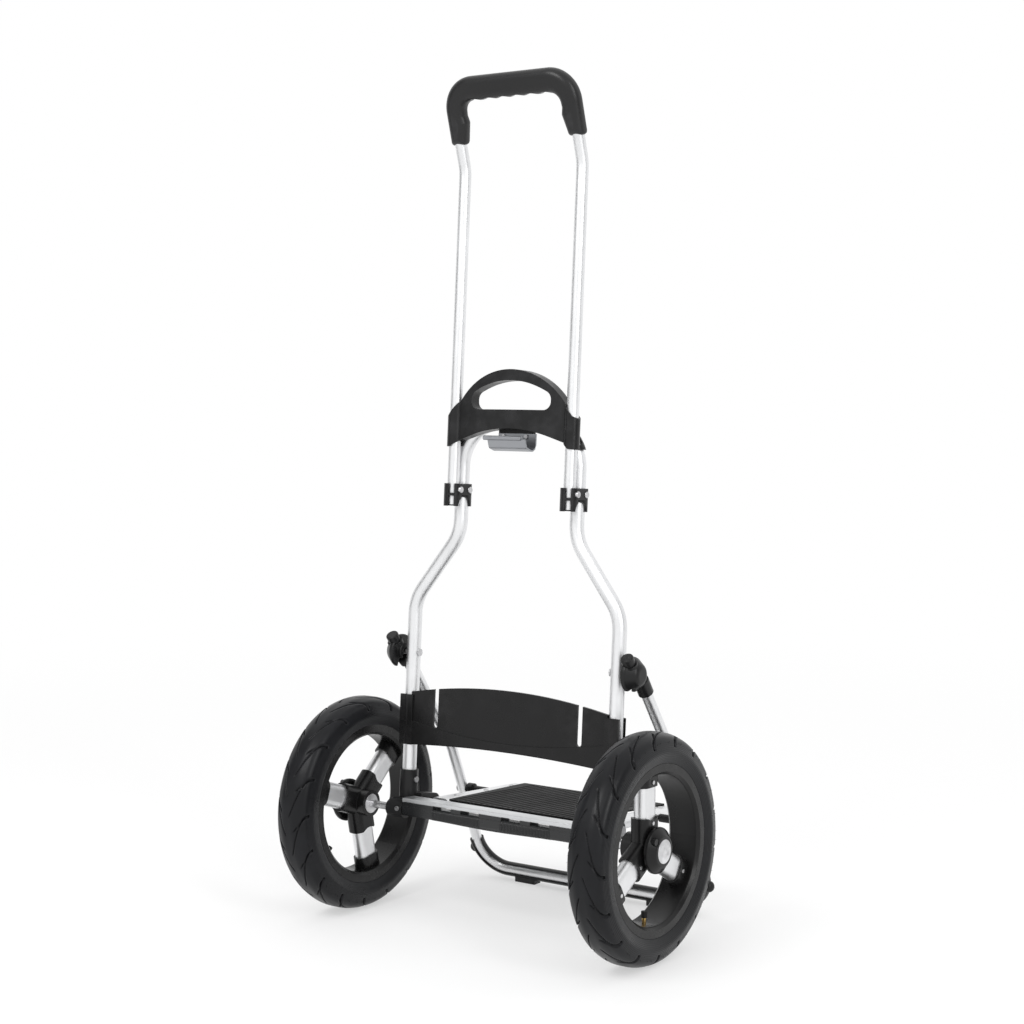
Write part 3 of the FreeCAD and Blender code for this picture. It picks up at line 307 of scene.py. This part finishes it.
def rubber(name, colour, roughness, tyre_middle=None):
    """Rubber: dull skin with mould bloom and painted shade in its hollows; on a tyre, moulded rings
    on the side walls.
    """
    ring_gap = 0.0021
    wall_start, wall_full = 0.0235, 0.0255
    finish = Finish(name)
    cloud = finish.noise(22.0, 7.0, 0.65)
    fine = finish.noise(650.0, 4.0, 0.7)
    bloom = finish.span(cloud, 0.45, 0.75)
    tone = finish.mix(bloom, colour, tuple(c * 1.7 for c in colour))
    height = finish.maths("MULTIPLY", fine, 0.35)
    rough = finish.span(cloud, 0.3, 0.7, roughness - 0.05, roughness + 0.1)
    if tyre_middle is not None:
        back, up = finish.axis("Y"), finish.axis("Z")
        back, up = finish.maths("POWER", back, 2.0), finish.maths("POWER", up, 2.0)
        radius = finish.maths("SQRT", finish.maths("ADD", back, up))
        wave = finish.maths("SINE", finish.maths("MULTIPLY", radius, 2 * math.pi / ring_gap))
        aside = finish.maths("ABSOLUTE", finish.maths("SUBTRACT", finish.axis("X"), tyre_middle))
        wall = finish.span(aside, wall_start, wall_full)
        rings_high = finish.maths("MULTIPLY", wave, finish.maths("MULTIPLY", wall, 0.5))
        height = finish.maths("ADD", height, rings_high)
        rough = finish.maths("SUBTRACT", rough, finish.maths("MULTIPLY", wall, 0.05))
    # Painted shade: in hollows (low pointiness) the colour goes near black, the gloss is cut and the
    # roughness raised.
    painted_hollow_shade = finish.span(finish.add("ShaderNodeNewGeometry").outputs["Pointiness"], 0.5, 0.42)
    tone = finish.mix(painted_hollow_shade, tone, (0.001, 0.001, 0.001))
    rough = finish.maths("ADD", rough, finish.maths("MULTIPLY", painted_hollow_shade, 0.4))
    finish.set(Base_Color=tone, Roughness=rough,
               Specular_IOR_Level=finish.span(painted_hollow_shade, 0.0, 1.0, 0.22, 0.02),
               Normal=finish.bump(height, 0.00022, 0.7))
    return finish.material


def turned_metal(name, colour, roughness):
    """Small plated or turned parts: fine grain, tarnish in patches, bright edges."""
    finish = Finish(name)
    patches = finish.noise(130.0, 5.0, 0.6)
    fine = finish.noise(1500.0, 2.0, 0.6)
    worn = finish.edges(0.5, 0.58)
    tone = finish.mix(finish.span(patches, 0.35, 0.7), colour, tuple(c * 0.72 for c in colour))
    tone = finish.mix(worn, tone, tuple(min(1.0, c * 1.2) for c in colour))
    finish.set(Base_Color=tone, Metallic=1.0,
               Roughness=finish.span(patches, 0.3, 0.7, roughness - 0.06, roughness + 0.1),
               Normal=finish.bump(fine, 0.00003, 0.5, 0.0004))
    return finish.material


def make_finishes():
    """Every finish: the material slots' own, and those that single nodes take instead."""
    tyre_colour = (0.0048, 0.0051, 0.0063)
    plastic = moulded("moulded_black", (0.0065, 0.0065, 0.0068), 0.34, 0.28)
    satin = moulded("moulded_satin", (0.0055, 0.0054, 0.0056), 0.28, 0.26, 0.00003, 1200.0)
    return {
        "aluminium_tube": drawn_metal("drawn_aluminium", (0.86, 0.865, 0.875), 0.40),
        "hook_metal": drawn_metal("grey_aluminium", (0.36, 0.37, 0.39), 0.36, (9, 420, 420)),
        "black_plastic": plastic,
        "gloss_plastic": beam_finish("ribbed_beam"),
        "soft_rubber": rubber("soft_rubber", (0.008, 0.008, 0.008), 0.55),
        "steel": turned_metal("plated_steel", (0.60, 0.60, 0.61), 0.3),
        "silver_disc": turned_metal("silver_disc", (0.66, 0.66, 0.67), 0.38),
        "brass": turned_metal("brass", (0.68, 0.45, 0.16), 0.3),
        "grip": moulded("moulded_grip", (0.009, 0.009, 0.0094), 0.34, 0.34, 0.0001, 520.0),
        "satin": satin,
        "deck": ribbed_deck("ribbed_deck", (0.0045, 0.0044, 0.0046)),
        "tyre_right": rubber("tyre_right", tyre_colour, 0.33, WHEELS["right"]),
        "tyre_left": rubber("tyre_left", tyre_colour, 0.33, WHEELS["left"]),
    }


def finish_for(node_name, slot, finishes):
    """The finish of a node: its own if it has one, or else that of its material slot."""
    if node_name == "platform_plate":
        return finishes["deck"]
    if node_name == "handle_grip":
        return finishes["grip"]
    if node_name.endswith(("_rim", "_hub", "_hub_cap", "_rim_sockets", "back_panel")):
        return finishes["satin"]
    if slot == "tyre_rubber":
        return finishes["tyre_right" if "right" in node_name else "tyre_left"]
    return finishes[slot]


def paint(obj, material):
    """Give every slot of a CAD node its material, on the object and not on its mesh."""
    for slot in obj.material_slots:
        slot.link = "OBJECT"
        slot.material = material


# ------------------------------------------------------------ tyres

# One half of the tyre's section, from the bead to the crown: aside, radius, corner radius (mm).
TYRE_OUTLINE = [
    (19.7, 103.0, 0.0), (19.7, 108.2, 0.0), (23.2, 108.2, 0.8), (27.5, 122.0, 11.0),
    (23.0, 139.5, 13.0), (9.0, 145.0, 25.0),
]
BEYOND_CROWN = (-9.0, 145.0, 25.0)
OUTLINE_GAP = 1.15
TREAD_START = 127.0
LONG_GROOVES = 17
PITCH = 2 * math.pi / LONG_GROOVES
LONG_DEPTH, SHORT_DEPTH = 3.0, 1.9

HAIRS = 48
HAIR_ASIDE, HAIR_RADIUS = 0.0246, 0.1335
HAIR_LENGTH, HAIR_THICKNESS = 0.0026, 0.00028
TYRE_HALF_WIDTH = 0.0272


def rounded_outline(corners, steps=9):
    """Points along straight runs whose corners are rounded with their own radii."""
    points = []
    for i, (x, y, radius) in enumerate(corners):
        here = Vector((x, y))
        if not radius or i in (0, len(corners) - 1):
            points.append(here)
            continue
        before = (Vector(corners[i - 1][:2]) - here).normalized()
        after = (Vector(corners[i + 1][:2]) - here).normalized()
        half = before.angle(after) / 2
        centre = here + (before + after).normalized() * (radius / math.sin(half))
        start = here + before * (radius / math.tan(half))
        turn = math.pi - 2 * half
        arm = start - centre
        sign = 1 if before.x * after.y - before.y * after.x < 0 else -1
        for step in range(steps + 1):
            angle = sign * turn * step / steps
            cosine, sine = math.cos(angle), math.sin(angle)
            turned = Vector((arm.x * cosine - arm.y * sine, arm.x * sine + arm.y * cosine))
            points.append(centre + turned)
    return points


def evenly(points, gap):
    """The same line with points about one gap apart."""
    result = [points[0]]
    for first, second in zip(points, points[1:]):
        parts = max(1, round((second - first).length / gap))
        result += [first.lerp(second, (i + 1) / parts) for i in range(parts)]
    return result


def smooth(value, low, high):
    """Rises from 0 at low to 1 at high, level at both ends."""
    share = min(1.0, max(0.0, (value - low) / (high - low)))
    return share * share * (3 - 2 * share)


def groove_depth(x, radius, angle, facing):
    """How deep (mm) the tread is cut at a place: long sweeping grooves, short ones between."""
    side = 1 if x > 0 else -1
    beside = abs(x)
    if radius < TREAD_START:
        return 0.0
    turn = angle * facing + (PITCH / 2 if side > 0 else 0.0)
    reach = smooth(beside, 1.5, 26.5)
    wanted = PITCH * (0.08 + 1.05 * reach ** 0.8)
    apart = (turn - wanted + PITCH / 2) % PITCH - PITCH / 2
    ends = smooth(beside, 2.0, 5.0) * smooth(radius, 128.0, 132.0)
    width = 1.7 + 1.2 * reach
    long_cut = LONG_DEPTH * ends * (1 - smooth(abs(apart) * radius, width * 0.45, width))
    wanted = PITCH * (0.62 + 0.42 * reach)
    apart = (turn - wanted + PITCH / 2) % PITCH - PITCH / 2
    ends = smooth(beside, 8.5, 11.0) * smooth(radius, 131.0, 134.0) * (1 - smooth(beside, 19.5, 22.0))
    short_cut = SHORT_DEPTH * ends * (1 - smooth(abs(apart) * radius, 0.7, 1.6))
    return max(long_cut, short_cut)


def make_tyre(side):
    """A treaded tyre over the CAD one, turned about the wheel's axle."""
    facing = 1 if side == "right" else -1
    right = rounded_outline(TYRE_OUTLINE + [BEYOND_CROWN])
    right = [point for point in right if point.x > -0.01]
    crown = Vector((0.0, max(point.y for point in right)))
    outline = evenly(right + [crown], OUTLINE_GAP)
    outline += [Vector((-point.x, point.y)) for point in reversed(outline[:-1])]
    around = 900
    verts = []
    for i in range(around):
        angle = 2 * math.pi * i / around
        for point in outline:
            cut = groove_depth(point.x, point.y, angle, facing)
            radius = (point.y - cut) / 1000
            x = (point.x - math.copysign(cut * 0.45, point.x) * smooth(abs(point.x), 14, 25)) / 1000
            verts.append((WHEELS[side] + x, AXLE.y + radius * math.cos(angle),
                          AXLE.z + radius * math.sin(angle)))
    rows = len(outline)
    faces = []
    for i in range(around):
        here, after = i * rows, (i + 1) % around * rows
        for j in range(rows - 1):
            faces.append((here + j, here + j + 1, after + j + 1, after + j))
        faces.append((here + rows - 1, here, after, after + rows - 1))
    mesh = bpy.data.meshes.new("tyre_" + side)
    mesh.from_pydata(verts, [], faces)
    solid = bmesh.new()
    solid.from_mesh(mesh)
    bmesh.ops.recalc_face_normals(solid, faces=solid.faces)
    add_moulding_hairs(solid, side)
    solid.to_mesh(mesh)
    solid.free()
    mesh.shade_smooth()
    tyre = bpy.data.objects.new("tyre_" + side, mesh)
    scene.collection.objects.link(tyre)
    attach(tyre, "wheel_" + side)
    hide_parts("wheel_%s_tyre" % side)
    return tyre


def add_moulding_hairs(solid, side):
    """Short rubber hairs left by the mould, in a ring on each shoulder."""
    for i in range(HAIRS):
        angle = 2 * math.pi * (i + 0.37 * math.sin(i * 2.3)) / HAIRS
        outward = Vector((0, math.cos(angle), math.sin(angle)))
        along = Vector((0, -outward.z, outward.y))
        for hand in (1, -1):
            aside = Vector((hand, 0, 0))
            root = Vector((WHEELS[side] + hand * HAIR_ASIDE, AXLE.y, AXLE.z))
            root += outward * HAIR_RADIUS
            lean = (aside * 0.4 + outward * 0.9 + along * 0.3 * math.sin(i * 1.7)).normalized()
            tip = root + lean * HAIR_LENGTH
            beside = max(-TYRE_HALF_WIDTH, min(TYRE_HALF_WIDTH, tip.x - WHEELS[side]))
            tip.x = WHEELS[side] + beside
            ring = []
            for turn in (0, 2 * math.pi / 3, 4 * math.pi / 3):
                offset = (aside * math.cos(turn) + along * math.sin(turn)) * HAIR_THICKNESS
                ring.append(solid.verts.new(root + offset))
            top = solid.verts.new(tip)
            for k in range(3):
                solid.faces.new((ring[k], ring[(k + 1) % 3], top))
            solid.faces.new((ring[2], ring[1], ring[0]))


# ------------------------------------------------------------ moulded ribs

def leaning(x, y, z):
    """A place given in the leaning frame's own millimetres, in the object's metres."""
    y, z = y / 1000, z / 1000
    return Vector((x / 1000, AXLE.y + y * math.cos(LEAN) + z * math.sin(LEAN),
                   AXLE.z - y * math.sin(LEAN) + z * math.cos(LEAN)))


def closed_strip(solid, rings):
    """Skin a row of rings, with a face at each end."""
    rings = [[solid.verts.new(place) for place in ring] for ring in rings]
    count = len(rings[0])
    for first, second in zip(rings, rings[1:]):
        for i in range(count):
            j = (i + 1) % count
            solid.faces.new((first[i], first[j], second[j], second[i]))
    solid.faces.new(list(reversed(rings[0])))
    solid.faces.new(rings[-1])


def add_piece(name, solid, body, material):
    """Make a visible piece of a finished mesh and let it ride on a body."""
    bmesh.ops.recalc_face_normals(solid, faces=solid.faces)
    mesh = bpy.data.meshes.new(name)
    solid.to_mesh(mesh)
    solid.free()
    mesh.shade_smooth()
    mesh.materials.append(material)
    piece = bpy.data.objects.new(name, mesh)
    scene.collection.objects.link(piece)
    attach(piece, body)


# The ribs' sizes are in the leaning frame's millimetres.
DECK_TOP = 14.75
DECK_RIB_PITCH = 8.8
DECK_RIB_HALF = 1.9
DECK_RIB_HEIGHT = 0.95
DECK_RIB_STATIONS = (
    (42, 0.1), (43.5, 0.7), (47, 1.0), (120, 1.0), (190, 1.0), (228, 1.0), (231.5, 0.7), (233, 0.1),
)
RIB_ROOT = 0.2

BEAM_FRONT = -10.0
BEAM_CORNER = (-6.0, -3.4)
BEAM_CORNER_RADIUS = 4
BEAM_RIBS = 34
BEAM_RIB_START, BEAM_RIB_PITCH = 17.0, 2.35
BEAM_RIB_HEIGHT, BEAM_RIB_END_HEIGHT = 0.6, 0.12


def make_deck_ribs(material):
    """Low rounded ribs along the load plate, each faded out at its ends."""
    solid = bmesh.new()
    for i in range(-11, 12):
        middle = i * DECK_RIB_PITCH
        right, left = middle + DECK_RIB_HALF, middle - DECK_RIB_HALF
        rings = []
        for y, share in DECK_RIB_STATIONS:
            ring = [leaning(right, y, DECK_TOP - RIB_ROOT), leaning(left, y, DECK_TOP - RIB_ROOT)]
            for step in range(9):
                turn = math.pi * (1 - step / 8)
                high = DECK_TOP + DECK_RIB_HEIGHT * share * math.sin(turn)
                ring.append(leaning(middle + DECK_RIB_HALF * math.cos(turn), y, high))
            rings.append(ring)
        closed_strip(solid, rings)
    add_piece("deck_ribs", solid, "platform", material)


def beam_rib_ring(path, k, middle):
    """One rib's section where the path has its point k, standing out from the beam's axis."""
    before, after = path[max(0, k - 1)], path[min(len(path) - 1, k + 1)]
    run = (after - before).normalized()
    outward = Vector((run.y, -run.x))
    if outward.dot(path[k]) < 0:
        outward = -outward
    high = BEAM_RIB_END_HEIGHT if k in (0, len(path) - 1) else BEAM_RIB_HEIGHT
    ring = []
    for beside, lift in ((-0.75, -RIB_ROOT), (-0.6, high * 0.6), (-0.25, high),
                         (0.25, high), (0.6, high * 0.6), (0.75, -RIB_ROOT)):
        place = path[k] + outward * lift
        ring.append(leaning(middle + beside, place.x, place.y))
    return ring


def make_beam_ribs(material):
    """Fine upright ribs on the axle beam's front, in a zone on each side of its middle."""
    corner_y, corner_z = BEAM_CORNER
    path = [Vector((BEAM_FRONT, z)) for z in (6.2, 2.0, corner_z)]
    for step in range(1, 7):
        turn = math.radians(180 + 15 * step)
        path.append(Vector((corner_y + BEAM_CORNER_RADIUS * math.cos(turn),
                            corner_z + BEAM_CORNER_RADIUS * math.sin(turn))))
    solid = bmesh.new()
    for side in (1, -1):
        for i in range(BEAM_RIBS):
            middle = side * (BEAM_RIB_START + BEAM_RIB_PITCH * i)
            rings = [beam_rib_ring(path, k, middle) for k in range(len(path))]
            closed_strip(solid, rings)
    add_piece("beam_ribs", solid, "chassis", material)


# ------------------------------------------------------------ build

make_camera()
make_stage()
finishes = make_finishes()
slots = {part["node"]: part["material_slot"] for part in frame["record"]["subparts"]}
for node_name, obj in nodes.items():
    paint(obj, finish_for(node_name, slots[node_name], finishes))
for side in WHEELS:
    make_tyre(side).data.materials.append(finishes["tyre_" + side])

make_deck_ribs(finishes["deck"])
make_beam_ribs(finishes["gloss_plastic"])
